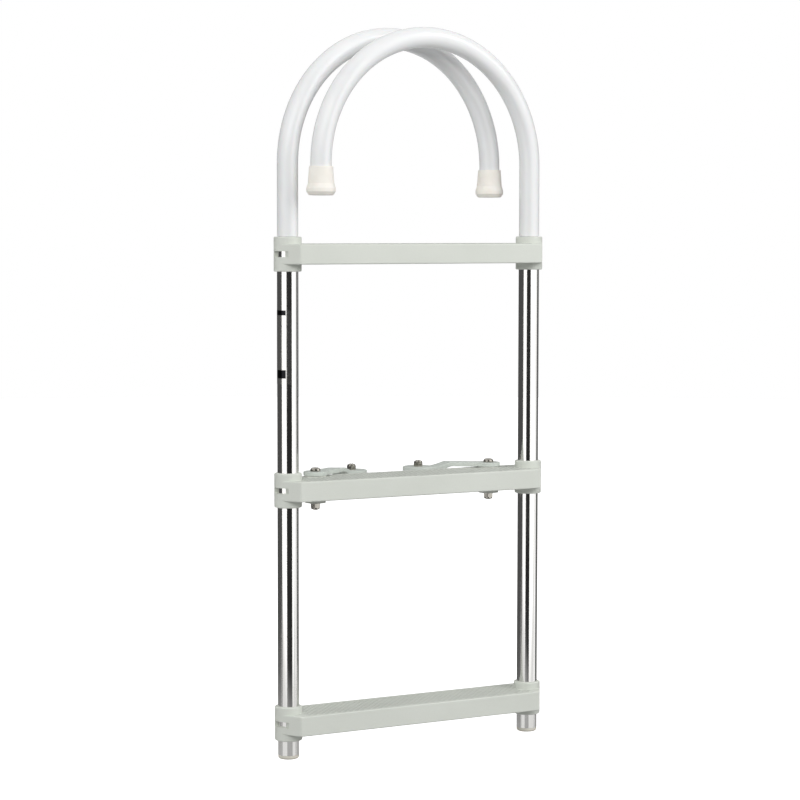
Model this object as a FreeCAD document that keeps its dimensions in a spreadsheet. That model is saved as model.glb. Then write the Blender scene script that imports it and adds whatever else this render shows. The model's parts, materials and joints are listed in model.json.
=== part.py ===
import FreeCAD, Part
import math
import os
import re

import Sketcher
from FreeCAD import Placement, Rotation, Vector

# A hook-on boarding ladder: two aluminium rails, three moulded steps threaded on them, two vinyl
# coated hooks that turn in the tops of the rails, and two stand-off arms on the middle step.
# X runs along the steps, +Y points at the boat and +Z up. The origin is the gunwale seat, midway
# between the rails and level with the underside of the hooks' bends. Lengths are in millimetres.

DIMENSIONS = {
    "rail_spacing": (334, "between the two rail axes"),
    "rail_diameter": (25.4, "one inch tube"),
    "rail_wall": (1.65, "wall of the rails and of the hook tubes"),
    "rail_below_step": (38, "from the bottom step's middle to the rail's lower end"),
    "step_spacing": (279.4, "eleven inches from step to step"),
    "tread_depth": (65, "front to back"),
    "tread_thickness": (24, "height of a step's front face"),
    "tread_wall": (3.5, "moulded wall of a step"),
    "tread_corner_inset": (0.8, "from the rail axis in to the tread's corner"),
    "collar_diameter": (33, "outside of a step's collar"),
    "collar_length": (41, "height of a step's collar"),
    "collar_clearance": (0.05, "radial, between a collar and its rail"),
    "window_height": (7, "slot through the end of a step"),
    "window_inset": (8, "from the rail axis out to the slot's inner end"),
    "window_reach": (3.5, "slot beyond the rails' plane, round the end of the step"),
    "rib_cells": (7, "hollow cells along the underside of a step"),
    "rib_pitch": (38, "from cell to cell"),
    "rib_thickness": (3, "between two cells"),
    "boss_diameter": (25, "pivot boss under the middle step"),
    "boss_reach": (19.5, "from the middle step's middle down to the boss's end"),
    "plug_rim": (5, "foot plug below the rail's end"),
    "plug_diameter": (25, "foot plug's rim"),
    "plug_insert": (16, "foot plug inside the rail"),
    "hook_tube_diameter": (23.8, "fifteen sixteenths inch tube"),
    "hook_bend_radius": (152.2, "centre line of the bend, eleven inches inside"),
    "hook_straight": (86.5, "coated leg from the rail's top to the bend"),
    "hook_drop": (33.4, "tube beyond the bend on the free side"),
    "hook_spigot_diameter": (22, "swaged end that turns inside the rail"),
    "hook_spigot_length": (90, "swaged end inside the rail"),
    "hook_seat_gap": (0.3, "between a hook's shoulder and its rail"),
    "groove_depth": (1.3, "rolled groove round the spigot"),
    "groove_width": (5.4, "rolled groove round the spigot"),
    "vinyl_thickness": (0.6, "coat on the hook tubes"),
    "left_fold_angle": (8, "stored left hook, turned towards the boat from the steps' line"),
    "right_fold_angle": (5, "stored right hook, turned away from the boat"),
    "tip_height": (34, "rubber tip"),
    "tip_floor": (4.6, "rubber under the tube's end"),
    "tip_mouth_diameter": (28.2, "top of the rubber tip"),
    "tip_bead_diameter": (34.6, "widest part of the rubber tip"),
    "lock_screw_height": (16.2, "below the step's middle, in the collar's lower ring"),
    "lock_screw_diameter": (4.2, "thread of a collar screw"),
    "lock_screw_head": (7.6, "head of a collar screw"),
    "lock_screw_reach": (9.9, "from the rail axis to the screw's end"),
    "lock_screw_seat": (15.6, "from the rail axis to the head's underside"),
    "label_height": (87, "sticker on the left rail"),
    "label_drop": (153, "from the top step's middle down to the sticker's lower end"),
    "label_wrap": (150, "sticker's wrap round the rail, in degrees"),
    "label_facing": (-171, "direction the sticker's middle faces, in degrees from +X"),
    "label_thickness": (0.15, "sticker"),
    "pivot_out": (121, "from the middle plane to a stand-off pivot"),
    "pivot_back": (19.5, "from the rail axes back to a stand-off pivot"),
    "arm_fold_angle": (33, "stored arm, turned towards the boat from the steps' line"),
    "arm_length": (88, "pivot to bumper bolt"),
    "arm_thickness": (5, "moulded bar"),
    "arm_pivot_radius": (14.5, "rounded end at the pivot"),
    "arm_pad_radius": (19.5, "rounded end over the bumper"),
    "arm_drop": (6.2, "height of the joggle"),
    "arm_waist": (20, "width of the bar between its round ends"),
    "arm_neck_round": (12, "hollow rounding from the bar into its round ends"),
    "joggle_start": (45, "from the pivot to the joggle, square to its creases"),
    "joggle_length": (15, "length of the joggle"),
    "joggle_skew": (26, "slant of the joggle's creases across the bar, in degrees"),
    "arm_gap": (0.1, "running gap above and below the arm at its pivot"),
    "spacer_thickness": (1.3, "nylon washer under the arm"),
    "spacer_diameter": (26, "nylon washer under the arm"),
    "bolt_diameter": (6, "pivot and bumper bolts"),
    "bolt_clearance": (0.05, "radial, round the bolts"),
    "bolt_head_diameter": (12.4, "pan head"),
    "bolt_head_height": (4.4, "pan head"),
    "nut_width": (10.8, "across the flats"),
    "nut_height": (7, "lock nut with its collar"),
    "washer_diameter": (14, "steel washers"),
    "washer_thickness": (1, "steel washers"),
    "bumper_diameter": (34, "rubber bumper"),
    "bumper_height": (24, "rubber bumper"),
    "bumper_recess_gap": (0.5, "radial, round the bumper bolt's washer"),
    "bumper_sink": (1, "bumper bolt's head above the bumper's foot"),
    "joggle_offset": (2, "upper corners of the joggle, beyond the lower ones"),
    "bolt_chamfer": (0.5, "end of a bolt"),
    "bolt_proud": (0.8, "bolt beyond its nut"),
    "nut_collar_share": (0.7, "hexagon's share of a nut's height"),
    "nut_collar_inset": (0.3, "nut's collar inside the flats"),
    "lock_screw_head_height": (2.4, "head of a collar screw"),
    "screw_clearance": (0.05, "radial, round a collar screw's thread"),
    "seat_clearance": (0.2, "radial, round a collar screw's head"),
    "plug_wall": (2.5, "foot plug's insert"),
    "plug_floor": (2, "foot plug above the rail's end"),
    "plug_clearance": (0.05, "radial, between a foot plug and its rail"),
    "spigot_cone": (4, "height of the shoulder between spigot and tube"),
    "groove_flank": (0.6, "sloping side of the rolled groove"),
    "groove_inner_flank": (1.6, "further reach of the groove on the inside of the tube"),
    "tip_clearance": (0.02, "radial, between a rubber tip and the coat"),
    "tip_foot_inset": (3, "foot of the rubber tip inside its widest part"),
    "tip_bead_low": (4.5, "lower end of the widest part"),
    "tip_bead_high": (8.5, "upper end of the widest part"),
    "tip_neck_height": (14, "where the flare meets the tip's shaft"),
    "tip_neck_swell": (1.4, "shaft's radius there, beyond the mouth's"),
}

# Radii of the rounded edges.
TREAD_CORNER_ROUND = 3
TREAD_EDGE_ROUND = 1.5
COLLAR_RIM_ROUND = 1.5
ARM_ROUND = 0.8
PLUG_ROUND = 3
TIP_ROUND = 2.4
BUMPER_ROUND = 3
BOLT_HEAD_ROUND = 3.4
LOCK_SCREW_ROUND = 1.6
NUT_ROUND = 1

doc = FreeCAD.newDocument("boarding_ladder")
sheet = doc.addObject("Spreadsheet::Sheet", "Size")
for row, (alias, (value, meaning)) in enumerate(DIMENSIONS.items(), start=1):
    sheet.set(f"A{row}", alias)
    sheet.set(f"B{row}", str(value))
    sheet.set(f"C{row}", meaning)
    sheet.setAlias(f"B{row}", alias)
doc.recompute()

SUBPARTS = []
ALIAS = re.compile(r"\b(" + "|".join(DIMENSIONS) + r")\b")

# Heights that several pieces share, written in terms of the sheet.
SLEEVE_RADIUS = "(hook_tube_diameter / 2 + vinyl_thickness)"
RAIL_TOP = f"({SLEEVE_RADIUS} - hook_bend_radius - hook_straight)"
STEP_HEIGHT = [f"({RAIL_TOP} - collar_length / 2 - {k} * step_spacing)" for k in range(3)]
MIDDLE_STEP = STEP_HEIGHT[1]
TREAD_TOP = "(tread_thickness / 2)"
RAIL_BORE = "(rail_diameter / 2 - rail_wall)"
HOOK_BORE = "(hook_tube_diameter / 2 - rail_wall)"
ARM_UNDERSIDE = f"({TREAD_TOP} + spacer_thickness + arm_gap)"
PAD_TOP = f"({ARM_UNDERSIDE} + arm_thickness - arm_drop)"
PAD_UNDERSIDE = f"({ARM_UNDERSIDE} - arm_drop)"
BUMPER_UNDERSIDE = f"({PAD_UNDERSIDE} - bumper_height)"
SIDES = {"left": -1, "right": 1}


def sized(text):
    """Expression in the sheet's dimensions, as FreeCAD reads it."""
    return ALIAS.sub(r"Size.\1", str(text))


def bind(thing, prop, text):
    thing.setExpression(prop, sized(text))


def subpart(thing, label):
    thing.Label = label
    SUBPARTS.append(thing)
    return thing


def place(thing, x="0", y="0", z="0", axis=Vector(0, 0, 1), angle="0"):
    """Places a piece, turned by angle degrees about axis."""
    thing.Placement = Placement(Vector(), Rotation(axis, 1))
    bind(thing, "Placement.Base.x", x)
    bind(thing, "Placement.Base.y", y)
    bind(thing, "Placement.Base.z", z)
    bind(thing, "Placement.Rotation.Angle", angle)


def new_body(name):
    return doc.addObject("PartDesign::Body", name)


def new_sketch(body, plane, name, height="0"):
    """Sketch on one of the body's own planes, moved along the plane's normal by height."""
    sketch = body.newObject("Sketcher::SketchObject", name)
    base = next(f for f in body.Origin.OriginFeatures if f.Role == plane + "_Plane")
    sketch.AttachmentSupport = [(base, "")]
    sketch.MapMode = "FlatFace"
    bind(sketch, "AttachmentOffset.Base.z", height)
    return sketch


def constrain(sketch, kind, *what, value, start=1.0):
    """Dimension whose value is an expression in the sheet's dimensions; start is a value near it."""
    index = sketch.addConstraint(Sketcher.Constraint(kind, *what, start))
    bind(sketch, f"Constraints[{index}]", value)


def pin_point(sketch, geometry, point, x, y):
    constrain(sketch, "DistanceX", -1, 1, geometry, point, value=x)
    constrain(sketch, "DistanceY", -1, 1, geometry, point, value=y)


def polygon(sketch, corners):
    """Closed outline whose corners are pairs of expressions."""
    count = len(corners)
    turn = 2 * math.pi / count
    ring = [Vector(math.cos(turn * k), math.sin(turn * k), 0) for k in range(count)]
    first = sketch.GeometryCount
    for k in range(count):
        sketch.addGeometry(Part.LineSegment(ring[k], ring[(k + 1) % count]))
    for k in range(count):
        sketch.addConstraint(Sketcher.Constraint("Coincident", first + k, 2, first + (k + 1) % count, 1))
    for k, (x, y) in enumerate(corners):
        pin_point(sketch, first + k, 1, x, y)


def rectangle(sketch, x_low, x_high, y_low, y_high):
    polygon(sketch, [(x_low, y_low), (x_high, y_low), (x_high, y_high), (x_low, y_high)])


def circle(sketch, radius, x="0", y="0"):
    index = sketch.addGeometry(Part.Circle(Vector(1, 1, 0), Vector(0, 0, 1), 5))
    pin_point(sketch, index, 3, x, y)
    constrain(sketch, "Radius", index, value=radius)


def pad(body, sketch, length, middle=False):
    feature = body.newObject("PartDesign::Pad", "Pad")
    feature.Profile = sketch
    feature.Midplane = middle
    bind(feature, "Length", length)
    doc.recompute()
    return feature


def pocket(body, sketch, length, middle=False, flip=False):
    """Cuts against the sketch's normal, or along it when flipped."""
    before = body.Shape.Volume
    feature = body.newObject("PartDesign::Pocket", "Pocket")
    feature.Profile = sketch
    feature.Midplane = middle
    feature.Reversed = flip
    bind(feature, "Length", length)
    doc.recompute()
    if not body.Shape.Volume < before - 0.01:
        raise RuntimeError(f"{body.Name}: {sketch.Name} cuts nothing")
    return feature


def revolve(body, corners):
    """Solid of revolution about Z from an outline of (radius, height) pairs."""
    sketch = new_sketch(body, "XZ", "Profile")
    polygon(sketch, corners)
    feature = body.newObject("PartDesign::Revolution", "Revolution")
    feature.Profile = sketch
    feature.ReferenceAxis = (sketch, ["V_Axis"])
    feature.Angle = 360
    doc.recompute()
    return feature


def fillet(body, radius, test):
    """Rounds the edges of the body's last feature that the test picks."""
    base = body.Tip
    names = [f"Edge{k}" for k, edge in enumerate(base.Shape.Edges, start=1) if test(edge)]
    if not names:
        raise RuntimeError(f"{body.Name}: no edge to round")
    feature = body.newObject("PartDesign::Fillet", "Fillet")
    feature.Base = (base, names)
    feature.Radius = radius
    doc.recompute()
    return feature


def ring_edge(radius, height):
    """Test for the circle of a given radius at a given height about the Z axis."""

    def test(edge):
        curve = edge.Curve
        return (
            isinstance(curve, Part.Circle)
            and abs(curve.Radius - radius) < 0.01
            and abs(curve.Center.z - height) < 0.01
        )

    return test


def size(alias):
    return float(DIMENSIONS[alias][0])


# --- rails, foot plugs and label ---------------------------------------------------------------


def make_rail(side):
    body = new_body(side + "_rail_body")
    ends = new_sketch(body, "XY", "Section")
    circle(ends, "rail_diameter / 2")
    circle(ends, RAIL_BORE)
    length = "(collar_length / 2 + 2 * step_spacing + rail_below_step)"
    pad(body, ends, length)
    holes = new_sketch(body, "XZ", "ScrewHoles")
    for k in range(3):
        height = f"rail_below_step + {k} * step_spacing - lock_screw_height"
        circle(holes, "lock_screw_diameter / 2 + screw_clearance", y=height)
    pocket(body, holes, "rail_diameter")
    place(body, x=f"{SIDES[side]} * rail_spacing / 2", z=f"{STEP_HEIGHT[2]} - rail_below_step")
    return subpart(body, side + "_rail")


def make_foot_plug(side):
    body = new_body(side + "_foot_plug_body")
    rim = "plug_diameter / 2"
    insert = f"({RAIL_BORE} - plug_clearance)"
    hollow = f"({insert} - plug_wall)"
    revolve(body, [
        ("0", "-plug_rim"), (rim, "-plug_rim"), (rim, "0"), (insert, "0"), (insert, "plug_insert"),
        (hollow, "plug_insert"), (hollow, "plug_floor"), ("0", "plug_floor"),
    ])
    fillet(body, PLUG_ROUND, ring_edge(size("plug_diameter") / 2, -size("plug_rim")))
    place(body, x=f"{SIDES[side]} * rail_spacing / 2", z=f"{STEP_HEIGHT[2]} - rail_below_step")
    return subpart(body, side + "_foot_plug")


def make_label():
    """Plain sticker wrapped round the outer front side of the left rail."""
    outer = doc.addObject("Part::Cylinder", "LabelOuter")
    inner = doc.addObject("Part::Cylinder", "LabelInner")
    for thing, radius in ((outer, "rail_diameter / 2 + label_thickness"), (inner, "rail_diameter / 2")):
        bind(thing, "Radius", radius)
        bind(thing, "Height", "label_height")
        bind(thing, "Angle", "label_wrap")
    cut = doc.addObject("Part::Cut", "Label")
    cut.Base = outer
    cut.Tool = inner
    place(cut, x="-rail_spacing / 2", z=f"{STEP_HEIGHT[0]} - label_drop",
          angle="label_facing - label_wrap / 2")
    return subpart(cut, "left_rail_label")


# --- steps ---------------------------------------------------------------------------------------


def tread_outline():
    """Rectangle whose ends slant in to touch the collars."""
    corner_x = "(rail_spacing / 2 - tread_corner_inset)"
    corner_y = "(tread_depth / 2)"
    reach = f"sqrt(pow(tread_corner_inset; 2) + pow({corner_y}; 2))"
    touch = f"(atan(tread_corner_inset / {corner_y}) + 90 deg - acos(collar_diameter / 2 / {reach}))"
    touch_x = f"(rail_spacing / 2 + collar_diameter / 2 * cos({touch}))"
    touch_y = f"(collar_diameter / 2 * sin({touch}))"
    right = [(corner_x, f"-{corner_y}"), (touch_x, f"-{touch_y}"), (touch_x, touch_y), (corner_x, corner_y)]
    left = [(f"-{x}", y) for x, y in reversed(right)]
    return right + left


def is_tread_corner(edge):
    low, high = edge.BoundBox.YMin, edge.BoundBox.YMax
    upright = edge.BoundBox.ZLength > size("tread_thickness") - 1 and high - low < 0.01
    return upright and abs(abs(low) - size("tread_depth") / 2) < 0.01


def is_flat_at(height):
    """Test for the level edges at a given height above or below the step's middle."""

    def test(edge):
        box = edge.BoundBox
        return box.ZLength < 0.01 and abs(abs(box.ZMin) - height) < 0.01

    return test


def add_windows(body):
    """Slots round the step's ends: on the left from the front, and on the right from the back."""
    for side in SIDES.values():
        window = new_sketch(body, "XZ", "Window", f"{side} * window_reach")
        axis = f"{side} * rail_spacing / 2"
        rectangle(window, f"{axis} + {side} * window_inset", f"{axis} + {side} * collar_diameter",
                  "-window_height / 2", "window_height / 2")
        pocket(body, window, "tread_depth", flip=side < 0)


def make_step(label, height, with_bosses=False):
    body = new_body(label + "_body")
    plan = new_sketch(body, "XY", "Plan")
    polygon(plan, tread_outline())
    pad(body, plan, "tread_thickness", middle=True)
    fillet(body, TREAD_CORNER_ROUND, is_tread_corner)
    fillet(body, TREAD_EDGE_ROUND, is_flat_at(size("tread_thickness") / 2))

    collars = new_sketch(body, "XY", "Collars")
    bores = new_sketch(body, "XY", "Bores")
    screws = new_sketch(body, "XZ", "ScrewHoles")
    seats = new_sketch(body, "XZ", "ScrewSeats", "-lock_screw_seat")
    for side in SIDES.values():
        axis = f"{side} * rail_spacing / 2"
        circle(collars, "collar_diameter / 2", x=axis)
        circle(bores, "rail_diameter / 2 + collar_clearance", x=axis)
        circle(screws, "lock_screw_diameter / 2 + screw_clearance", x=axis, y="-lock_screw_height")
        circle(seats, "lock_screw_head / 2 + seat_clearance", x=axis, y="-lock_screw_height")
    pad(body, collars, "collar_length", middle=True)
    fillet(body, COLLAR_RIM_ROUND, is_flat_at(size("collar_length") / 2))

    cells = new_sketch(body, "XY", "Cells", "tread_thickness / 2 - tread_wall")
    for k in range(int(size("rib_cells"))):
        centre = f"({k} - (rib_cells - 1) / 2) * rib_pitch"
        half = "(rib_pitch - rib_thickness) / 2"
        for low, high in (("-tread_depth / 2 + tread_wall", "-rib_thickness / 2"),
                          ("rib_thickness / 2", "tread_depth / 2 - tread_wall")):
            rectangle(cells, f"{centre} - {half}", f"{centre} + {half}", low, high)
    pocket(body, cells, "tread_thickness")

    if with_bosses:
        bosses = new_sketch(body, "XY", "Bosses", "tread_thickness / 2 - tread_wall")
        bolts = new_sketch(body, "XY", "BoltHoles", "tread_thickness")
        for side in SIDES.values():
            circle(bosses, "boss_diameter / 2", x=f"{side} * pivot_out", y="pivot_back")
            circle(bolts, "bolt_diameter / 2 + bolt_clearance", x=f"{side} * pivot_out", y="pivot_back")
        boss = pad(body, bosses, "boss_reach + tread_thickness / 2 - tread_wall")
        boss.Reversed = True
        doc.recompute()
        pocket(body, bolts, "3 * tread_thickness")

    pocket(body, bores, "2 * collar_length", middle=True)
    add_windows(body)
    pocket(body, screws, "collar_diameter")
    pocket(body, seats, "collar_diameter")
    place(body, z=height)
    return subpart(body, label)


# --- screws, bolts, nuts and washers ---------------------------------------------------------------


def make_lock_screws(label, heights):
    """One pan-head screw through the back of each collar at the given step heights."""
    screws = []
    for height in heights:
        for side, sign in SIDES.items():
            body = new_body("screw")
            shank = "lock_screw_diameter / 2"
            head = "lock_screw_head / 2"
            crown = "(lock_screw_seat + lock_screw_head_height)"
            revolve(body, [
                ("0", "lock_screw_reach"), (shank, "lock_screw_reach"), (shank, "lock_screw_seat"),
                (head, "lock_screw_seat"), (head, crown), ("0", crown),
            ])
            crown_edge = ring_edge(size("lock_screw_head") / 2,
                                   size("lock_screw_seat") + size("lock_screw_head_height"))
            fillet(body, LOCK_SCREW_ROUND, crown_edge)
            place(body, x=f"{sign} * rail_spacing / 2", z=f"{height} - lock_screw_height",
                  axis=Vector(1, 0, 0), angle="-90")
            screws.append(body)
    group = doc.addObject("Part::Compound", "Screws")
    group.Links = screws
    return subpart(group, label)


def make_bolt(label, length, x, y, z, upside_down=False):
    """Pan-head bolt whose head's underside is at its own origin."""
    body = new_body(label + "_body")
    shank = "bolt_diameter / 2"
    head = "bolt_head_diameter / 2"
    revolve(body, [
        ("0", f"-{length}"), (f"{shank} - bolt_chamfer", f"-{length}"),
        (shank, f"-{length} + bolt_chamfer"), (shank, "0"),
        (head, "0"), (head, "bolt_head_height"), ("0", "bolt_head_height"),
    ])
    fillet(body, BOLT_HEAD_ROUND, ring_edge(size("bolt_head_diameter") / 2, size("bolt_head_height")))
    place(body, x=x, y=y, z=z, axis=Vector(1, 0, 0), angle="180" if upside_down else "0")
    return subpart(body, label)


def make_nut(label, x, y, z, upside_down=False):
    """Hexagonal lock nut standing on its own origin, with the round collar on its far side."""
    body = new_body(label + "_body")
    hexagon = new_sketch(body, "XY", "Hexagon")
    corner = "nut_width / 2 / cos(30)"
    polygon(hexagon, [(f"{corner} * cos({60 * k})", f"{corner} * sin({60 * k})") for k in range(6)])
    pad(body, hexagon, "nut_height * nut_collar_share")
    collar = new_sketch(body, "XY", "Collar")
    circle(collar, "nut_width / 2 - nut_collar_inset")
    pad(body, collar, "nut_height")
    fillet(body, NUT_ROUND, ring_edge(size("nut_width") / 2 - size("nut_collar_inset"), size("nut_height")))
    hole = new_sketch(body, "XY", "Hole", "nut_height * 2")
    circle(hole, "bolt_diameter / 2 + bolt_clearance")
    pocket(body, hole, "nut_height * 3")
    place(body, x=x, y=y, z=z, axis=Vector(1, 0, 0), angle="180" if upside_down else "0")
    return subpart(body, label)


def make_washer(label, diameter, thickness, x, y, z):
    body = new_body(label + "_body")
    ring = new_sketch(body, "XY", "Ring")
    circle(ring, f"{diameter} / 2")
    circle(ring, "bolt_diameter / 2 + bolt_clearance")
    pad(body, ring, thickness)
    place(body, x=x, y=y, z=z)
    return subpart(body, label)


# --- hooks -----------------------------------------------------------------------------------------


def add_bend(body, inner, outer):
    """Turns the tube's section half a turn over the bend and adds the free side of a hook."""
    section = new_sketch(body, "XY", "BendSection", "hook_straight")
    circle(section, outer)
    circle(section, inner)
    axis = section.addGeometry(Part.LineSegment(Vector(5, 0, 0), Vector(5, 10, 0)), True)
    pin_point(section, axis, 1, "hook_bend_radius", "0")
    pin_point(section, axis, 2, "hook_bend_radius", "rail_diameter")
    bend = body.newObject("PartDesign::Revolution", "Bend")
    bend.Profile = section
    bend.ReferenceAxis = (section, ["Axis0"])
    bend.Angle = 180
    doc.recompute()
    if body.Shape.BoundBox.ZMax < size("hook_straight") + size("hook_bend_radius"):
        bend.Reversed = True
        doc.recompute()
    free_end = new_sketch(body, "XY", "FreeEnd", "hook_straight - hook_drop")
    circle(free_end, outer, x="2 * hook_bend_radius")
    circle(free_end, inner, x="2 * hook_bend_radius")
    pad(body, free_end, "hook_drop")


def hook_angle(side):
    return "left_fold_angle" if side == "left" else "180 + right_fold_angle"


def place_on_hook(thing, side, along="0", z="0"):
    """Places a piece at a distance along the stored hook from its rail's axis."""
    angle = hook_angle(side)
    place(thing, x=f"{SIDES[side]} * rail_spacing / 2 + {along} * cos({angle})",
          y=f"{along} * sin({angle})", z=f"{RAIL_TOP} + {z}", angle=angle)


def make_hook_tube(side):
    """Tube with a swaged, grooved spigot below and a full-size leg, bend and free end above."""
    body = new_body(side + "_hook_tube_body")
    outer = "hook_tube_diameter / 2"
    spigot = "hook_spigot_diameter / 2"
    bore = f"{spigot} - rail_wall"
    groove = "(-collar_length / 2 - lock_screw_height)"
    flank = "(groove_width / 2)"
    cone = "(hook_seat_gap + spigot_cone)"
    wide = f"{flank} + groove_inner_flank"
    outside = [
        (spigot, "-hook_spigot_length"),
        (spigot, f"{groove} - {flank} - groove_flank"),
        (f"{spigot} - groove_depth", f"{groove} - {flank}"),
        (f"{spigot} - groove_depth", f"{groove} + {flank}"),
        (spigot, f"{groove} + {flank} + groove_flank"),
        (spigot, "hook_seat_gap"),
        (outer, cone),
        (outer, "hook_straight"),
    ]
    inside = [
        (f"{outer} - rail_wall", "hook_straight"),
        (f"{outer} - rail_wall", f"{cone} + groove_flank"),
        (bore, "hook_seat_gap + groove_flank"),
        (bore, f"{groove} + ({wide} + groove_flank)"),
        (f"{bore} - groove_depth", f"{groove} + ({wide})"),
        (f"{bore} - groove_depth", f"{groove} - ({wide})"),
        (bore, f"{groove} - ({wide} + groove_flank)"),
        (bore, "-hook_spigot_length"),
    ]
    revolve(body, outside + inside)
    add_bend(body, HOOK_BORE, outer)
    place_on_hook(body, side)
    return subpart(body, side + "_hook_tube")


def make_hook_sleeve(side):
    """Vinyl coat on the whole of the tube above the rail."""
    body = new_body(side + "_hook_sleeve_body")
    ring = new_sketch(body, "XY", "Ring", "hook_seat_gap")
    circle(ring, SLEEVE_RADIUS)
    circle(ring, "hook_tube_diameter / 2")
    pad(body, ring, "hook_straight - hook_seat_gap")
    add_bend(body, "hook_tube_diameter / 2", SLEEVE_RADIUS)
    place_on_hook(body, side)
    return subpart(body, side + "_hook_sleeve")


def make_hook_tip(side):
    """Rubber ferrule with a flared foot bead, open at the top."""
    body = new_body(side + "_hook_tip_body")
    bore = f"({SLEEVE_RADIUS} + tip_clearance)"
    mouth = "tip_mouth_diameter / 2"
    bead = "tip_bead_diameter / 2"
    revolve(body, [
        ("0", "0"), (f"{bead} - tip_foot_inset", "0"), (bead, "tip_bead_low"), (bead, "tip_bead_high"),
        (f"{mouth} + tip_neck_swell", "tip_neck_height"), (mouth, "tip_height"), (bore, "tip_height"),
        (bore, "tip_floor"), ("0", "tip_floor"),
    ])
    fillet(body, TIP_ROUND, ring_edge(size("tip_bead_diameter") / 2 - size("tip_foot_inset"), 0))
    place_on_hook(body, side, along="2 * hook_bend_radius", z="hook_straight - hook_drop - tip_floor")
    return subpart(body, side + "_hook_tip")


# --- stand-off arms ----------------------------------------------------------------------------------


def pivot_x(side):
    return f"{SIDES[side]} * pivot_out"


def arm_angle(side):
    return "arm_fold_angle" if side == "left" else "180 - arm_fold_angle"


def pad_x(side):
    return f"{pivot_x(side)} + arm_length * cos({arm_angle(side)})"


def pad_y(side):
    return f"pivot_back + arm_length * sin({arm_angle(side)})"


def neck_turn(end_radius):
    """Reach of a neck's rounding along the bar, and the angle at which it meets the round end."""
    rise = size("arm_waist") / 2 + size("arm_neck_round")
    reach = math.sqrt((end_radius + size("arm_neck_round")) ** 2 - rise ** 2)
    return reach, math.atan2(rise, reach)


def add_arm_plan(sketch):
    """Outline of the arm from above: a straight bar that swells into two round ends."""
    half, neck, length = size("arm_waist") / 2, size("arm_neck_round"), size("arm_length")
    axis = Vector(0, 0, 1)
    right_angle = math.pi / 2

    def arc(x, y, radius, start, end):
        return sketch.addGeometry(Part.ArcOfCircle(Part.Circle(Vector(x, y, 0), axis, radius), start, end))

    pad_reach, pad_angle = neck_turn(size("arm_pad_radius"))
    pivot_reach, pivot_angle = neck_turn(size("arm_pivot_radius"))
    pad_x, centre_y = length - pad_reach, half + neck
    pad_end = arc(length, 0, size("arm_pad_radius"), pad_angle - math.pi, math.pi - pad_angle)
    pivot_end = arc(0, 0, size("arm_pivot_radius"), pivot_angle, 2 * math.pi - pivot_angle)
    necks = [
        arc(pad_x, centre_y, neck, -right_angle, -pad_angle),
        arc(pivot_reach, centre_y, neck, pivot_angle - math.pi, -right_angle),
        arc(pivot_reach, -centre_y, neck, right_angle, math.pi - pivot_angle),
        arc(pad_x, -centre_y, neck, pad_angle, right_angle),
    ]
    top = sketch.addGeometry(Part.LineSegment(Vector(pad_x, half, 0), Vector(pivot_reach, half, 0)))
    bottom = sketch.addGeometry(Part.LineSegment(Vector(pivot_reach, -half, 0), Vector(pad_x, -half, 0)))
    for first, point, second, other in (
        (pad_end, 2, necks[0], 2), (necks[0], 1, top, 1), (top, 2, necks[1], 2), (necks[1], 1, pivot_end, 1),
        (pivot_end, 2, necks[2], 2), (necks[2], 1, bottom, 1), (bottom, 2, necks[3], 2),
        (necks[3], 1, pad_end, 1),
    ):
        sketch.addConstraint(Sketcher.Constraint("Tangent", first, point, second, other))
    for line in (top, bottom):
        sketch.addConstraint(Sketcher.Constraint("Horizontal", line))
    constrain(sketch, "DistanceY", -1, 1, top, 1, value="arm_waist / 2", start=half)
    constrain(sketch, "DistanceY", bottom, 1, -1, 1, value="arm_waist / 2", start=half)
    constrain(sketch, "DistanceX", -1, 1, pad_end, 3, value="arm_length", start=length)
    constrain(sketch, "DistanceY", -1, 1, pad_end, 3, value="0", start=0)
    sketch.addConstraint(Sketcher.Constraint("Coincident", pivot_end, 3, -1, 1))
    for round_part, radius in ((pad_end, "arm_pad_radius"), (pivot_end, "arm_pivot_radius"),
                               *((neck_arc, "arm_neck_round") for neck_arc in necks)):
        constrain(sketch, "Radius", round_part, value=radius, start=size(radius))


def is_arm_rim(edge):
    """Picks the arm's rims and the joggle's creases, but not its upright edges."""
    return edge.BoundBox.XLength > 1


def make_arm(side):
    """Joggled bar, the same on both sides: its root lies over the tread and its pad hangs lower behind."""
    body = new_body(side + "_standoff_arm_body")
    profile = new_sketch(body, "XZ", "Joggle")
    profile.AttachmentOffset = Placement(Vector(), Rotation(Vector(0, 1, 0), 1))
    bind(profile, "AttachmentOffset.Rotation.Angle", "joggle_skew")
    near, far = "-2 * arm_pivot_radius", "(arm_length + 2 * arm_pad_radius)"
    joggle_end = "(joggle_start + joggle_length)"
    polygon(profile, [
        (near, "0"), ("joggle_start", "0"), (joggle_end, "-arm_drop"), (far, "-arm_drop"),
        (far, "arm_thickness - arm_drop"), (f"{joggle_end} + joggle_offset", "arm_thickness - arm_drop"),
        ("joggle_start + joggle_offset", "arm_thickness"), (near, "arm_thickness"),
    ])
    pad(body, profile, "1.5 * arm_length", middle=True)
    outside = new_sketch(body, "XY", "Outside")
    rectangle(outside, "-2 * arm_length", "2 * arm_length", "-2 * arm_length", "2 * arm_length")
    add_arm_plan(outside)
    pocket(body, outside, "8 * arm_thickness", middle=True)
    fillet(body, ARM_ROUND, is_arm_rim)
    holes = new_sketch(body, "XY", "Holes")
    circle(holes, "bolt_diameter / 2 + bolt_clearance")
    circle(holes, "bolt_diameter / 2 + bolt_clearance", x="arm_length")
    pocket(body, holes, "8 * arm_thickness", middle=True)
    place(body, x=pivot_x(side), y="pivot_back", z=f"{MIDDLE_STEP} + {ARM_UNDERSIDE}", angle=arm_angle(side))
    return subpart(body, side + "_standoff_arm")


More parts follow.
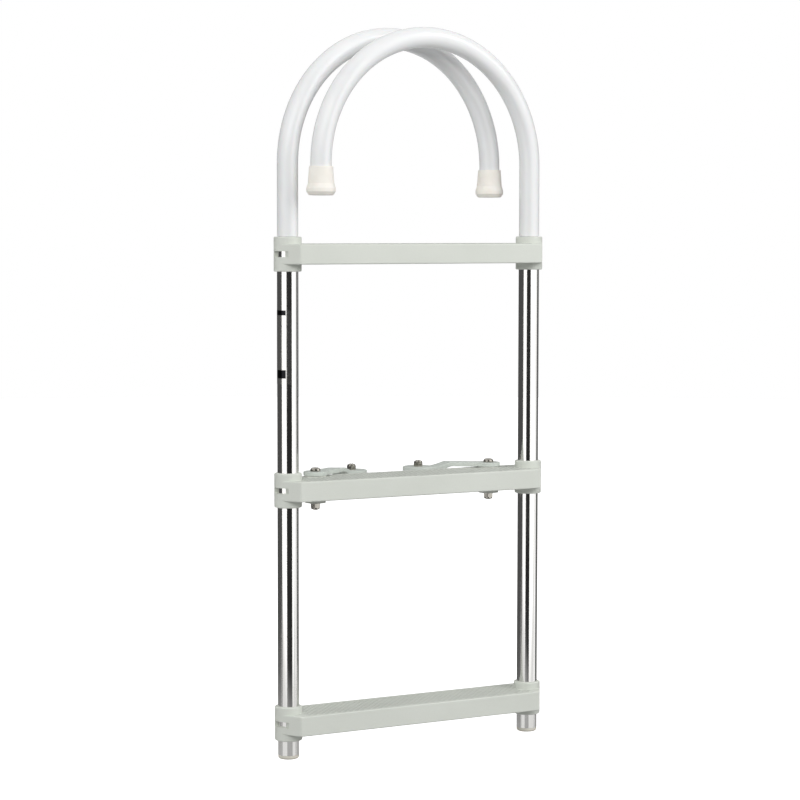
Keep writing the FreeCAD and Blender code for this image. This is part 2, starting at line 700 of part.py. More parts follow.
def make_bumper(side):
    """Round rubber bumper under the arm's pad, recessed below for the bolt's head."""
    body = new_body(side + "_bumper_body")
    rim = "bumper_diameter / 2"
    hole = "(bolt_diameter / 2 + bolt_clearance)"
    recess = "(washer_diameter / 2 + bumper_recess_gap)"
    depth = "(bolt_head_height + washer_thickness + bumper_sink)"
    revolve(body, [
        (recess, "0"), (rim, "0"), (rim, "bumper_height"),
        (hole, "bumper_height"), (hole, depth), (recess, depth),
    ])
    for end in (0, size("bumper_height")):
        fillet(body, BUMPER_ROUND, ring_edge(size("bumper_diameter") / 2, end))
    place(body, x=pad_x(side), y=pad_y(side), z=f"{MIDDLE_STEP} + {BUMPER_UNDERSIDE}")
    return subpart(body, side + "_bumper")


def make_standoff(side):
    """One arm with its pivot on the middle step and its bumper."""
    at_pivot = {"x": pivot_x(side), "y": "pivot_back"}
    at_pad = {"x": pad_x(side), "y": pad_y(side)}
    boss_end = f"{MIDDLE_STEP} - boss_reach"
    head_seat = f"{MIDDLE_STEP} + {ARM_UNDERSIDE} + arm_thickness + arm_gap"
    make_arm(side)
    make_washer(side + "_pivot_spacer", "spacer_diameter", "spacer_thickness",
                z=f"{MIDDLE_STEP} + {TREAD_TOP}", **at_pivot)
    grip = f"({ARM_UNDERSIDE} + arm_thickness + arm_gap + boss_reach)"
    make_bolt(side + "_pivot_bolt", f"({grip} + washer_thickness + nut_height + bolt_proud)",
              z=head_seat, **at_pivot)
    make_washer(side + "_pivot_washer", "washer_diameter", "washer_thickness",
                z=f"{boss_end} - washer_thickness", **at_pivot)
    make_nut(side + "_pivot_nut", z=f"{boss_end} - washer_thickness", upside_down=True, **at_pivot)
    make_bumper(side)
    bumper_seat = f"{MIDDLE_STEP} + {BUMPER_UNDERSIDE} + bumper_sink + bolt_head_height"
    make_washer(side + "_bumper_washer", "washer_diameter", "washer_thickness", z=bumper_seat, **at_pad)
    stack = "(bumper_height - bolt_head_height - bumper_sink + arm_thickness + nut_height + bolt_proud)"
    make_bolt(side + "_bumper_bolt", stack, z=bumper_seat, upside_down=True, **at_pad)
    make_nut(side + "_bumper_nut", z=f"{MIDDLE_STEP} + {PAD_TOP}", **at_pad)


# --- assembly ----------------------------------------------------------------------------------------

for name in SIDES:
    make_rail(name)
    make_foot_plug(name)
    make_hook_tube(name)
    make_hook_sleeve(name)
    make_hook_tip(name)
    make_standoff(name)
make_label()
make_step("top_step", STEP_HEIGHT[0])
make_step("middle_step", STEP_HEIGHT[1], with_bosses=True)
make_step("bottom_step", STEP_HEIGHT[2])
make_lock_screws("hook_retaining_screws", STEP_HEIGHT[:1])
make_lock_screws("step_lock_screws", STEP_HEIGHT[1:])

doc.recompute()
for thing in doc.Objects:
    if "Invalid" in thing.State or "Error" in thing.State:
        raise RuntimeError(f"{thing.Name} ({thing.Label}): {thing.State}")
for thing in SUBPARTS:
    if thing.Shape.isNull() or not thing.Shape.isValid():
        raise RuntimeError(f"{thing.Label}: bad shape")

os.makedirs("parts", exist_ok=True)
for thing in SUBPARTS:
    thing.Shape.exportStep(f"parts/{thing.Label}.step")
    print(f"{thing.Label}: {thing.Shape.Volume / 1000:.2f} cm3, {len(thing.Shape.Solids)} solid(s)")
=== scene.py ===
import json
import math

import bmesh
import bpy
from mathutils import Matrix, Vector


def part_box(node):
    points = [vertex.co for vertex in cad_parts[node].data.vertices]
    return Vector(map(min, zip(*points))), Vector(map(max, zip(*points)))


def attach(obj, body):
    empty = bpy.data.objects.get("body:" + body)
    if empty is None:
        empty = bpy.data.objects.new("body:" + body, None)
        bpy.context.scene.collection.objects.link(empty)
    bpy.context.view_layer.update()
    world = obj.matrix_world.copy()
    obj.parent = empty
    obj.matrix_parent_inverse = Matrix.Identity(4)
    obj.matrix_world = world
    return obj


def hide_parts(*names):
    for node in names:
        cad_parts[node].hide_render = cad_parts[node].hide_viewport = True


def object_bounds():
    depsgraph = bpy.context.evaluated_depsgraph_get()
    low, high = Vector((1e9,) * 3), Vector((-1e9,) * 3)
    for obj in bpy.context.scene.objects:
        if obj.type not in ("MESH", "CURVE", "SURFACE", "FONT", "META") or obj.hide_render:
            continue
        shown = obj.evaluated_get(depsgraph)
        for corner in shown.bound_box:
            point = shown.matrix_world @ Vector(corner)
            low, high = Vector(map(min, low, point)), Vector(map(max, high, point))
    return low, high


# A hook-on boarding ladder: moulded steps on two bright tubes, white coated hooks and two folding
# stand-off arms. Everything is in metres, in the CAD part's own frame.

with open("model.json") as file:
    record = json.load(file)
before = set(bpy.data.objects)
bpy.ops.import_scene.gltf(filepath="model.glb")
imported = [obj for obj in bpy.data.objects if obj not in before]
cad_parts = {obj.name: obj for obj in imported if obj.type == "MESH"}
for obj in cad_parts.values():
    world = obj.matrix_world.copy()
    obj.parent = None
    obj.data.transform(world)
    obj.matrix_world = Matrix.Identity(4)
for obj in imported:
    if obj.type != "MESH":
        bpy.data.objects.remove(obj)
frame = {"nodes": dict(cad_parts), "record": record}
cad_low, cad_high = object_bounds()
nodes = frame["nodes"]

MM = 0.001


# --- material helpers ---------------------------------------------------------------------------


class Shader:
    """A node material whose nodes are added and linked by name."""

    def __init__(self, name):
        self.material = bpy.data.materials.new(name)
        self.material.use_nodes = True
        self.nodes = self.material.node_tree.nodes
        self.links = self.material.node_tree.links
        self.bsdf = self.nodes["Principled BSDF"]
        self.place = self.nodes.new("ShaderNodeTexCoord").outputs["Object"]

    def set(self, **values):
        """Uniform numbers and colours, on the shader's own sockets."""
        for name, value in values.items():
            self.bsdf.inputs[name.replace("_", " ")].default_value = value
        return self

    def node(self, kind, inputs=None, **settings):
        made = self.nodes.new("ShaderNode" + kind)
        for name, value in settings.items():
            setattr(made, name, value)
        for name, value in (inputs or {}).items():
            if isinstance(value, bpy.types.NodeSocket):
                self.links.new(value, made.inputs[name])
            else:
                made.inputs[name].default_value = value
        return made

    def scaled(self, scale):
        """Object coordinates stretched by a different factor along each axis."""
        return self.node("Mapping", {"Vector": self.place, "Scale": scale}).outputs["Vector"]

    def noise(self, scale, detail=3, vector=None, roughness=0.55):
        return self.node("TexNoise", {
            "Vector": vector or self.place, "Scale": scale, "Detail": detail, "Roughness": roughness,
        }).outputs["Fac"]

    def ramp(self, fac, stops):
        """Colour ramp with stops of (position, grey or colour)."""
        made = self.node("ValToRGB", {"Fac": fac})
        elements = made.color_ramp.elements
        while len(elements) < len(stops):
            elements.new(0.5)
        for element, (position, colour) in zip(elements, stops):
            element.position = position
            element.color = (*([colour] * 3 if isinstance(colour, float) else colour), 1)
        return made.outputs["Color"]

    def mix(self, fac, a, b, blend="MIX"):
        made = self.node("Mix", data_type="RGBA", blend_type=blend)
        for socket, value in zip((made.inputs[0], made.inputs[6], made.inputs[7]), (fac, a, b)):
            if isinstance(value, bpy.types.NodeSocket):
                self.links.new(value, socket)
            else:
                socket.default_value = value if isinstance(value, (int, float)) else (*value, 1)
        return made.outputs[2]

    def link(self, output, name):
        self.links.new(output, self.bsdf.inputs[name])
        return self

    def bump(self, height, strength, distance, below=None):
        inputs = {"Height": height, "Strength": strength, "Distance": distance}
        if below is not None:
            inputs["Normal"] = below
        return self.node("Bump", inputs).outputs["Normal"]


# Mask for the painted edge highlight of the moulded plastics.
def edge_highlight_mask(shader, radius):
    """0 on flat surfaces, rising to 1 on edges sharper than the radius."""
    bevel = shader.node("Bevel", {"Radius": radius}, samples=4).outputs["Normal"]
    plain = shader.node("NewGeometry").outputs["Normal"]
    dot = shader.node("VectorMath", {0: bevel, 1: plain}, operation="DOT_PRODUCT").outputs["Value"]
    return shader.ramp(dot, [(0.86, 1.0), (0.995, 0.0)])


# --- materials ----------------------------------------------------------------------------------

LABEL_BARS = ((0.075, 0.19), (0.93, 1.0))  # from and to, as shares of the label's height
LABEL_BAR_REACH = 5.1 * MM  # how far the bars come round from the label's left edge


def moulded_plastic(name, tone, darker, grain=0.00012):
    """Filled nylon: a fine spark-eroded texture, slow colour drift and a painted highlight that
    lightens sharp edges.
    """
    s = Shader(name).set(Roughness=0.5, Specular_IOR_Level=0.42)
    drift = s.ramp(s.noise(9, 4), [(0.3, 0.0), (0.7, 1.0)])
    colour = s.mix(drift, darker, tone)
    flecks = s.ramp(s.noise(520, 2), [(0.42, 0.0), (0.62, 1.0)])
    colour = s.mix(s.node("Math", {0: flecks, 1: 0.06}, operation="MULTIPLY").outputs[0],
                   colour, tuple(c * 0.72 for c in tone))
    # Sharp edges painted a little lighter: a painted highlight.
    edges = edge_highlight_mask(s, 0.0012)
    colour = s.mix(s.node("Math", {0: edges, 1: 0.35}, operation="MULTIPLY").outputs[0],
                   colour, tuple(min(1, c * 1.12) for c in tone))
    s.link(colour, "Base Color")
    s.link(s.ramp(s.noise(60, 3), [(0.3, 0.44), (0.7, 0.58)]), "Roughness")
    fine = s.bump(s.noise(1900, 2), 0.35, grain)
    s.link(s.bump(s.noise(34, 2), 0.12, 0.0006, fine), "Normal")
    return s.material


def rail_metal():
    """Bright drawn aluminium: lengthwise die lines and faint handling marks under a clear film."""
    s = Shader("rail_aluminium").set(Metallic=1.0)
    lines = s.noise(1, 3, s.scaled((1500, 1500, 6)))
    marks = s.noise(1, 4, s.scaled((60, 60, 14)))
    s.link(s.ramp(marks, [(0.35, 0.075), (0.7, 0.14)]), "Roughness")
    tint = s.mix(s.ramp(marks, [(0.3, 0.0), (0.75, 1.0)]), (0.87, 0.865, 0.85), (0.8, 0.79, 0.765))
    s.link(tint, "Base Color")
    s.link(s.bump(lines, 0.12, 0.00002), "Normal")
    return s.material


def tube_metal():
    s = Shader("mill_steel").set(Metallic=1.0)
    lines = s.noise(1, 3, s.scaled((900, 900, 10)))
    s.link(s.mix(lines, (0.52, 0.52, 0.53), (0.68, 0.68, 0.68)), "Base Color")
    s.link(s.ramp(lines, [(0.3, 0.24), (0.7, 0.36)]), "Roughness")
    return s.material


def vinyl():
    """Dip-coated vinyl: glossy, very slightly uneven, with a little light inside it."""
    s = Shader("white_vinyl").set(
        Roughness=0.2, Specular_IOR_Level=0.5, Subsurface_Weight=0.06, Subsurface_Scale=0.002,
        Coat_Weight=0.35, Coat_Roughness=0.07, Sheen_Weight=0.5, Sheen_Roughness=0.5,
    )
    cloud = s.ramp(s.noise(14, 3), [(0.3, 0.0), (0.7, 1.0)])
    colour = s.mix(cloud, (0.835, 0.835, 0.84), (0.87, 0.87, 0.872))
    scuffs = s.ramp(s.noise(1, 5, s.scaled((160, 160, 40))), [(0.63, 0.0), (0.72, 1.0)])
    colour = s.mix(s.node("Math", {0: scuffs, 1: 0.1}, operation="MULTIPLY").outputs[0],
                   colour, (0.66, 0.66, 0.65))
    s.link(colour, "Base Color")
    s.link(s.ramp(s.noise(90, 3), [(0.3, 0.16), (0.7, 0.26)]), "Roughness")
    s.link(s.bump(s.noise(38, 2), 0.2, 0.0004), "Normal")
    return s.material


def rubber(name, light, dark):
    """Matt moulded rubber with a dusty bloom."""
    s = Shader(name).set(Specular_IOR_Level=0.35, Subsurface_Weight=0.05, Subsurface_Scale=0.002)
    bloom = s.ramp(s.noise(70, 5), [(0.3, 0.0), (0.7, 1.0)])
    s.link(s.mix(bloom, dark, light), "Base Color")
    s.link(s.ramp(s.noise(140, 3), [(0.3, 0.5), (0.7, 0.68)]), "Roughness")
    s.link(s.bump(s.noise(1300, 2), 0.3, 0.0001), "Normal")
    return s.material


def stainless():
    """Bright stainless steel with turning marks and a faint warm cast."""
    s = Shader("stainless_steel").set(Metallic=1.0)
    marks = s.noise(1, 4, s.scaled((420, 420, 2600)))
    s.link(s.mix(marks, (0.17, 0.16, 0.14), (0.6, 0.575, 0.52)), "Base Color")
    s.link(s.ramp(marks, [(0.3, 0.06), (0.75, 0.14)]), "Roughness")
    s.link(s.bump(marks, 0.15, 0.00003), "Normal")
    return s.material


def sticker():
    """Clear film over the bright tube, with two plain dark bars on its left side and no print."""
    s = Shader("label_film").set(Metallic=0.98)
    low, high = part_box("left_rail_label")
    split = s.node("SeparateXYZ", {0: s.place})
    share = s.node("MapRange", {
        "Value": split.outputs["Z"], "From Min": low.z, "From Max": high.z,
    }).outputs[0]
    bars = s.node("ValToRGB", {"Fac": share})
    bars.color_ramp.interpolation = "CONSTANT"
    elements = bars.color_ramp.elements
    elements[0].color = (1, 1, 1, 1)
    elements[1].position, elements[1].color = LABEL_BARS[0][0], (0, 0, 0, 1)
    elements.new(LABEL_BARS[0][1]).color = (1, 1, 1, 1)
    elements.new(LABEL_BARS[1][0]).color = (0, 0, 0, 1)
    past_bars = s.node("Math", {0: split.outputs["X"], 1: low.x + LABEL_BAR_REACH},
                       operation="GREATER_THAN").outputs[0]
    clear = s.node("Math", {0: bars.outputs["Color"], 1: past_bars}, operation="MAXIMUM").outputs[0]
    grain = s.noise(700, 2)
    film = s.mix(grain, (0.74, 0.73, 0.7), (0.84, 0.83, 0.8))
    s.link(s.mix(clear, (0.015, 0.015, 0.017), film), "Base Color")
    s.link(s.ramp(grain, [(0.3, 0.12), (0.7, 0.18)]), "Roughness")
    return s.material


STEP_TONE, STEP_DARK = (0.69, 0.715, 0.66), (0.645, 0.67, 0.615)
# Darker copy of the step plastic for the diamonds' flanks: painted shade between the diamonds.
FLANK_SHADE_TONE, FLANK_SHADE_DARK = (0.39, 0.41, 0.37), (0.33, 0.35, 0.315)
ARM_TONE, ARM_DARK = (0.61, 0.65, 0.605), (0.55, 0.59, 0.55)
MATERIALS = {
    "rail_aluminium": rail_metal(),
    "step_plastic": moulded_plastic("step_plastic", STEP_TONE, STEP_DARK),
    "arm_plastic": moulded_plastic("arm_plastic", ARM_TONE, ARM_DARK, 0.00008),
    "plug_plastic": rubber("plug_plastic", (0.74, 0.71, 0.63), (0.66, 0.63, 0.55)),
    "hook_steel": tube_metal(),
    "white_vinyl": vinyl(),
    "tip_rubber": rubber("tip_rubber", (0.93, 0.905, 0.845), (0.88, 0.845, 0.775)),
    "bumper_rubber": rubber("bumper_rubber", (0.74, 0.71, 0.64), (0.67, 0.64, 0.57)),
    "nylon": moulded_plastic("nylon", (0.74, 0.74, 0.7), (0.7, 0.7, 0.66), 0.00004),
    "stainless_steel": stainless(),
    "label": sticker(),
}
# Painted shade: the darker step plastic that the diamond flanks take.
FLANK_SHADE_MATERIAL = moulded_plastic("step_flank_painted_shade", FLANK_SHADE_TONE, FLANK_SHADE_DARK)
for part in frame["record"]["subparts"]:
    mesh = nodes[part["node"]].data
    mesh.materials.clear()
    mesh.materials.append(MATERIALS[part["material_slot"]])


# --- mesh helpers -------------------------------------------------------------------------------


SMOOTH_ANGLE, PATTERN_SMOOTH_ANGLE = 35, 20


def add_piece(name, mesh, body, slot_name, smooth_angle=SMOOTH_ANGLE):
    """Puts a finished mesh on a CAD body with the finish of one of the record's slots."""
    piece = bpy.data.objects.new(name, mesh)
    bpy.context.scene.collection.objects.link(piece)
    mesh.materials.append(MATERIALS[slot_name])
    for face in mesh.polygons:
        face.use_smooth = True
    mesh.set_sharp_from_angle(angle=math.radians(smooth_angle))
    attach(piece, body)
    return piece


def middle_of(node):
    low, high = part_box(node)
    return (low + high) / 2


# --- anti-slip pattern on the treads --------------------------------------------------------------

PATTERN_PITCH = 8 * MM
PATTERN_HEIGHT = 0.3 * MM
PATTERN_SINK = 0.1 * MM
PATTERN_FILL = 0.86  # share of the pitch that a diamond takes
PATTERN_CROWN = 0.74  # share of a diamond that its flat top takes
TREAD_TOP = 12 * MM  # above the middle of the collars
TREAD_MARGIN = 5 * MM
TREAD_END = 10 * MM
COLLAR_HALF_HEIGHT = 20.5 * MM
COLLAR_CLEARANCE = 19 * MM
SPACER_CLEARANCE = 2 * MM


def add_tread_pattern(step):
    """Rows of low moulded diamonds on a step's top, clear of its rims, collars and pivots."""
    low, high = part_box(step)
    half_y = (high.y - low.y) / 2 - TREAD_MARGIN
    rail_x = middle_of("right_rail").x
    half_x = rail_x - TREAD_END
    top = high.z - COLLAR_HALF_HEIGHT + TREAD_TOP
    spots = [(Vector((side * rail_x, 0, 0)), COLLAR_CLEARANCE) for side in (-1, 1)]
    if step == "middle_step":
        for spacer in ("left_pivot_spacer", "right_pivot_spacer"):
            spacer_low, spacer_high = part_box(spacer)
            radius = (spacer_high.x - spacer_low.x) / 2
            spots.append((middle_of(spacer), radius + SPACER_CLEARANCE))
    work = bmesh.new()
    across = PATTERN_PITCH * PATTERN_FILL / 2
    corners = ((across, 0), (0, across), (-across, 0), (0, -across))
    columns = int(half_x / PATTERN_PITCH)
    rows = int(half_y / PATTERN_PITCH * 2)
    for row in range(-rows, rows + 1):
        for column in range(-columns, columns + 1):
            x = (column + (0.5 if row % 2 else 0)) * PATTERN_PITCH
            y = row * PATTERN_PITCH / 2
            if abs(x) > half_x or abs(y) > half_y:
                continue
            if any(math.hypot(x - spot.x, y - spot.y) < radius for spot, radius in spots):
                continue
            base = [work.verts.new((x + dx, y + dy, top - PATTERN_SINK)) for dx, dy in corners]
            crown = [work.verts.new((
                x + dx * PATTERN_CROWN, y + dy * PATTERN_CROWN, top + PATTERN_HEIGHT,
            )) for dx, dy in corners]
            work.faces.new(crown)
            work.faces.new(base[::-1])
            for k in range(4):
                # The flanks get the second material, the darker plastic: painted shade.
                flank = work.faces.new((base[k], base[(k + 1) % 4], crown[(k + 1) % 4], crown[k]))
                flank.material_index = 1
    mesh = bpy.data.meshes.new(step + "_pattern")
    work.to_mesh(mesh)
    work.free()
    add_piece(step + "_pattern", mesh, "frame", "step_plastic", PATTERN_SMOOTH_ANGLE)
    # The second material is the painted shade on the flanks.
    mesh.materials.append(FLANK_SHADE_MATERIAL)


for step_name in ("top_step", "middle_step", "bottom_step"):
    add_tread_pattern(step_name)


# --- cross recesses in the bolt and screw heads ---------------------------------------------------

RECESS_WIDTH = 1.3 * MM
RECESS_MOUTH, RECESS_BOTTOM = 1.25, 0.62  # shares of the full reach and width
RECESS_TURN = math.radians(20)
BOLT_RECESS = (3.6 * MM, 1.7 * MM)  # reach from the centre, and depth
SCREW_RECESS = (2.2 * MM, 1.1 * MM)


def islands(mesh):
    """The separate solids of a mesh, each as a list of its vertex positions."""
    work = bmesh.new()
    work.from_mesh(mesh)
    left = set(work.verts)
    found = []
    for start in work.verts:
        if start not in left:
            continue
        left.remove(start)
        front = [start]
        island = []
        while front:
            vert = front.pop()
            island.append(vert.co.copy())
            for edge in vert.link_edges:
                other = edge.other_vert(vert)
                if other in left:
                    left.remove(other)
                    front.append(other)
        found.append(island)
    work.free()
    return found


def add_cross_cutter(work, crown, outward, reach, depth):
    """Two crossed wedges that narrow downwards, centred on a head's crown."""
    turn = outward.to_track_quat("Z", "Y").to_matrix()
    for angle in (RECESS_TURN, RECESS_TURN + math.pi / 2):
        along = Vector((math.cos(angle), math.sin(angle), 0))
        across = Vector((-math.sin(angle), math.cos(angle), 0))
        rings = []
        for height, share in ((depth, RECESS_MOUTH), (-depth, RECESS_BOTTOM)):
            rise = Vector((0, 0, height))
            rings.append([work.verts.new(crown + turn @ (
                along * reach * share * u + across * RECESS_WIDTH / 2 * share * v + rise
            )) for u, v in ((-1, -1), (1, -1), (1, 1), (-1, 1))])
        top, bottom = rings
        work.faces.new(top)
        work.faces.new(bottom[::-1])
        for k in range(4):
            work.faces.new((bottom[k], bottom[(k + 1) % 4], top[(k + 1) % 4], top[k]))
    bmesh.ops.recalc_face_normals(work, faces=work.faces)


def recess_heads(node, body, outward, reach, depth):
    """Shows a node's bolt or screws with cross recesses cut into their heads."""
    work = bmesh.new()
    for island in islands(nodes[node].data):
        ahead = max(co.dot(outward) for co in island)
        low = Vector([min(co[k] for co in island) for k in range(3)])
        high = Vector([max(co[k] for co in island) for k in range(3)])
        crown = (low + high) / 2
        crown += outward * (ahead - crown.dot(outward))
        add_cross_cutter(work, crown, outward, reach, depth)
    cutter_mesh = bpy.data.meshes.new(node + "_recess")
    work.to_mesh(cutter_mesh)
    work.free()
    cutter = bpy.data.objects.new(node + "_recess", cutter_mesh)
    bpy.context.scene.collection.objects.link(cutter)
    blank = bpy.data.objects.new(node + "_blank", nodes[node].data.copy())
    bpy.context.scene.collection.objects.link(blank)
    cut = blank.modifiers.new("recess", "BOOLEAN")
    cut.operation, cut.solver, cut.object, cut.use_self = "DIFFERENCE", "EXACT", cutter, True
    graph = bpy.context.evaluated_depsgraph_get()
    mesh = bpy.data.meshes.new_from_object(blank.evaluated_get(graph))
    mesh.name = node + "_recessed"
    mesh.materials.clear()
    for used in (blank, cutter):
        bpy.data.objects.remove(used)
    piece = add_piece(node + "_recessed", mesh, body, "stainless_steel")
    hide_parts(node)


for side in ("left", "right"):
    recess_heads(side + "_pivot_bolt", "frame", Vector((0, 0, 1)), *BOLT_RECESS)
    recess_heads(side + "_bumper_bolt", side + "_standoff", Vector((0, 0, -1)), *BOLT_RECESS)
for screws in ("step_lock_screws", "hook_retaining_screws"):
    recess_heads(screws, "frame", Vector((0, 1, 0)), *SCREW_RECESS)


# --- room, lights and camera ----------------------------------------------------------------------


# What the bright metal mirrors beyond the cards: (direction in degrees from +X, brightness).
WALLS = ((-180, 1.1), (-40, 1.1), (-15, 1.1), (-12, 0.1), (12, 0.1), (22, 0.3), (52, 0.3),
         (62, 0.1), (100, 0.075), (166, 0.075), (172, 0.1), (180, 1.1))
# What it mirrors of the floor, in views from well above.
FLOOR_BANDS = ((-180, 0.9), (-150, 0.25), (-110, 0.95), (-60, 0.3), (-20, 0.95), (25, 0.25),
               (70, 0.95), (115, 0.25), (150, 0.9), (180, 0.9))
OVERHEAD_MIRROR, BELOW_MIRROR = 1.0, 0.5
# Heights of a direction, as the sine of its slope, where one zone of the room turns into the next.
OVERHEAD_FADE, BELOW_FADE, FLOOR_FADE = (0.25, 0.6), (-0.21, -0.19), (-0.27, -0.235)
DIFFUSE_BELOW, DIFFUSE_ABOVE = 0.37, 0.38
# Heights where the near and far cards take their softer strength.
NEAR_FADE, FAR_FADE = (-0.98, -0.88), (-1.22, -1.13)


def emitter(name, strength, low_strength, fade):
    """Plain light-giving material that changes to a softer strength near the floor."""
    material = bpy.data.materials.new(name)
    material.use_nodes = True
    tree = material.node_tree
    tree.nodes.clear()
    emission = tree.nodes.new("ShaderNodeEmission")
    out = tree.nodes.new("ShaderNodeOutputMaterial")
    place = tree.nodes.new("ShaderNodeTexCoord")
    split = tree.nodes.new("ShaderNodeSeparateXYZ")
    span = tree.nodes.new("ShaderNodeMapRange")
    tree.links.new(place.outputs["Object"], split.inputs[0])
    tree.links.new(split.outputs["Z"], span.inputs["Value"])
    span.inputs["From Min"].default_value, span.inputs["From Max"].default_value = fade
    span.inputs["To Min"].default_value = low_strength
    span.inputs["To Max"].default_value = strength
    tree.links.new(span.outputs[0], emission.inputs["Strength"])
    tree.links.new(emission.outputs[0], out.inputs[0])
    return material


def add_studio_sky():
    """White background, soft even light, and light and dark studio walls for the bright metal."""
    world = bpy.data.worlds.new("studio")
    bpy.context.scene.world = world
    world.use_nodes = True
    tree = world.node_tree
    tree.nodes.clear()

    def node(kind, **settings):
        made = tree.nodes.new("ShaderNode" + kind)
        for name, value in settings.items():
            setattr(made, name, value)
        return made

    def link(output, socket):
        tree.links.new(output, socket)

    place = node("TexCoord")
    split = node("SeparateXYZ")
    turn = node("Math", operation="ARCTAN2")
    share = node("MapRange")
    share.inputs["From Min"].default_value = -math.pi
    share.inputs["From Max"].default_value = math.pi
    link(place.outputs["Generated"], split.inputs[0])
    link(split.outputs["Y"], turn.inputs[0])
    link(split.outputs["X"], turn.inputs[1])
    link(turn.outputs[0], share.inputs["Value"])

    def bands(shades):
        """Brightness round the room, from (direction, brightness) pairs."""
        made = node("ValToRGB")
        link(share.outputs[0], made.inputs["Fac"])
        elements = made.color_ramp.elements
        while len(elements) < len(shades):
            elements.new(0.5)
        for element, (direction, shade) in zip(elements, shades):
            element.position = (direction + 180) / 360
            element.color = (shade, shade, shade, 1)
        return made.outputs["Color"]

    def by_height(start, end, low=0, high=1):
        """A number that goes from low to high as a direction's height goes from start to end."""
        made = node("MapRange")
        values = (start, end, low, high)
        for name, value in zip(("From Min", "From Max", "To Min", "To Max"), values):
            made.inputs[name].default_value = value
        link(split.outputs["Z"], made.inputs["Value"])
        return made.outputs[0]

    def mix(fac, a, b):
        """a where fac is 0 and b where it is 1; each is a socket or a grey."""
        made = node("Mix", data_type="RGBA")
        link(fac, made.inputs[0])
        for socket, value in ((made.inputs[6], a), (made.inputs[7], b)):
            if isinstance(value, bpy.types.NodeSocket):
                link(value, socket)
            else:
                socket.default_value = (value, value, value, 1)
        return made.outputs[2]

    rays = node("LightPath")
    mirror = mix(by_height(*OVERHEAD_FADE), bands(WALLS), OVERHEAD_MIRROR)
    mirror = mix(by_height(*BELOW_FADE), BELOW_MIRROR, mirror)
    mirror = mix(by_height(*FLOOR_FADE), bands(FLOOR_BANDS), mirror)
    diffuse = by_height(-1, 1, DIFFUSE_BELOW, DIFFUSE_ABOVE)
    unseen = mix(rays.outputs["Is Glossy Ray"], diffuse, mirror)
    seen = mix(rays.outputs["Is Camera Ray"], unseen, 1)
    background = node("Background")
    out = node("OutputWorld")
    link(seen, background.inputs["Color"])
    link(background.outputs[0], out.inputs["Surface"])


# The camera stands in front and to the left, a little above the middle of the ladder.
CAMERA_AIM = Vector((-0.01579, 0.0, -0.42415))
CAMERA_YAW = math.radians(28.70)
CAMERA_PITCH = math.radians(4.154)
CAMERA_ROLL = math.radians(0.08)
CAMERA_DISTANCE = 2.90189
CAMERA_LENS = 107.56
CAMERA_SENSOR = 36.0

forward = Vector((
    math.sin(CAMERA_YAW) * math.cos(CAMERA_PITCH),
    math.cos(CAMERA_YAW) * math.cos(CAMERA_PITCH),
    -math.sin(CAMERA_PITCH),
))
level_ahead = Vector((math.sin(CAMERA_YAW), math.cos(CAMERA_YAW), 0))
level_right = Vector((math.cos(CAMERA_YAW), -math.sin(CAMERA_YAW), 0))

camera_data = bpy.data.cameras.new("camera")
camera_data.lens = CAMERA_LENS
camera_data.sensor_width = CAMERA_SENSOR
camera = bpy.data.objects.new("camera", camera_data)
bpy.context.scene.collection.objects.link(camera)
turned = forward.to_track_quat("-Z", "Y").to_matrix().to_4x4() @ Matrix.Rotation(CAMERA_ROLL, 4, "Z")
camera.matrix_world = Matrix.Translation(CAMERA_AIM - forward * CAMERA_DISTANCE) @ turned
bpy.context.scene.camera = camera

FLOOR_RADIUS = 6.0


def add_floor():
    """Plain white floor that gives no reflection or shadow, as in a cut-out picture."""
    work = bmesh.new()
    bmesh.ops.create_circle(work, cap_ends=True, segments=96, radius=FLOOR_RADIUS)
    mesh = bpy.data.meshes.new("floor")
    work.to_mesh(mesh)
    work.free()
    floor = bpy.data.objects.new("floor", mesh)
    floor.location.z = cad_low.z
    bpy.context.scene.collection.objects.link(floor)
    s = Shader("floor").set(
        Roughness=0.9, Specular_IOR_Level=0.1, Emission_Color=(1, 1, 1, 1), Emission_Strength=0.85,
    )
    s.link(s.mix(s.noise(1.5), (0.925, 0.925, 0.925), (0.94, 0.94, 0.94)), "Base Color")
    mesh.materials.append(s.material)
    floor.visible_glossy = False
    floor.visible_diffuse = False
    floor.visible_shadow = False


CARD_LOW, CARD_HIGH = -1.6, 1.0


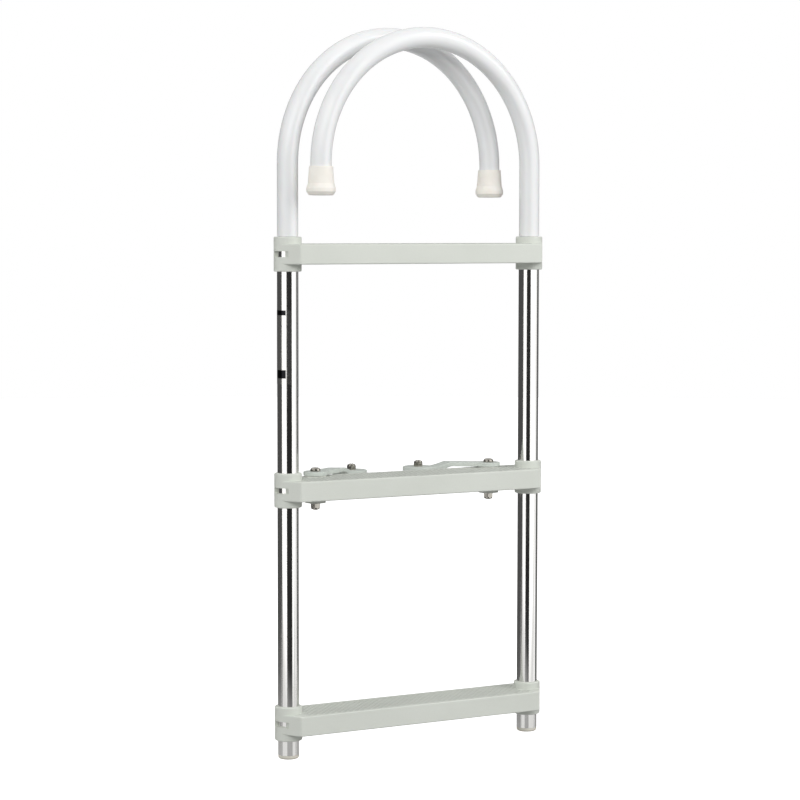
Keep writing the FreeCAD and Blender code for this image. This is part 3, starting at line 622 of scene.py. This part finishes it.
def add_card(name, left, right, material):
    """Upright card that only reflections see, between two (to the right, ahead) points."""
    corners = [level_right * across + level_ahead * ahead + Vector((0, 0, height))
               for height, ends in ((CARD_LOW, (left, right)), (CARD_HIGH, (right, left)))
               for across, ahead in ends]
    mesh = bpy.data.meshes.new(name)
    mesh.from_pydata(corners, [], [(0, 1, 2, 3)])
    mesh.materials.append(material)
    card = bpy.data.objects.new(name, mesh)
    bpy.context.scene.collection.objects.link(card)
    card.visible_camera = False
    card.visible_diffuse = False
    card.visible_shadow = False
    card.visible_transmission = False


LAMP_AIM = Vector((0, 0, -0.4))


def add_lamp(name, place, size, power):
    """Soft rectangular lamp; the rim lamp isn't mirrored in the metal."""
    data = bpy.data.lights.new(name, "AREA")
    data.shape = "RECTANGLE"
    data.size, data.size_y = size
    data.energy = power
    lamp = bpy.data.objects.new(name, data)
    lamp.location = place
    lamp.visible_glossy = name != "rim"
    lamp.rotation_mode = "QUATERNION"
    lamp.rotation_quaternion = (LAMP_AIM - lamp.location).to_track_quat("-Z", "Y")
    bpy.context.scene.collection.objects.link(lamp)


add_studio_sky()
add_floor()
light_card = emitter("light_card", 1.35, 0.82, NEAR_FADE)
dark_card = emitter("dark_card", 0.02, 0.44, NEAR_FADE)
grey_card = emitter("grey_card", 0.075, 0.5, FAR_FADE)
for card_name, card_left, card_right, card_material in (
    ("card_far_left", (-4.0, -0.8), (-1.66, -0.8), grey_card),
    ("card_left", (-2.02, -0.97), (-0.33, -0.97), light_card),
    ("card_middle", (-0.328, -0.967), (0.395, -0.60), dark_card),
    ("card_right", (0.40, -0.60), (4.0, -0.60), light_card),
):
    add_card(card_name, card_left, card_right, card_material)
for lamp_name, lamp_place, lamp_size, lamp_power in (
    ("key", (-1.6, -2.4, 1.2), (1.7, 1.7), 45),
    ("fill", (1.8, -2.2, 1.0), (1.6, 1.8), 44),
    ("rim", (-2.6, 0.9, 0.4), (1.2, 1.8), 16),
):
    add_lamp(lamp_name, lamp_place, lamp_size, lamp_power)
bpy.context.scene.view_settings.view_transform = "Standard"
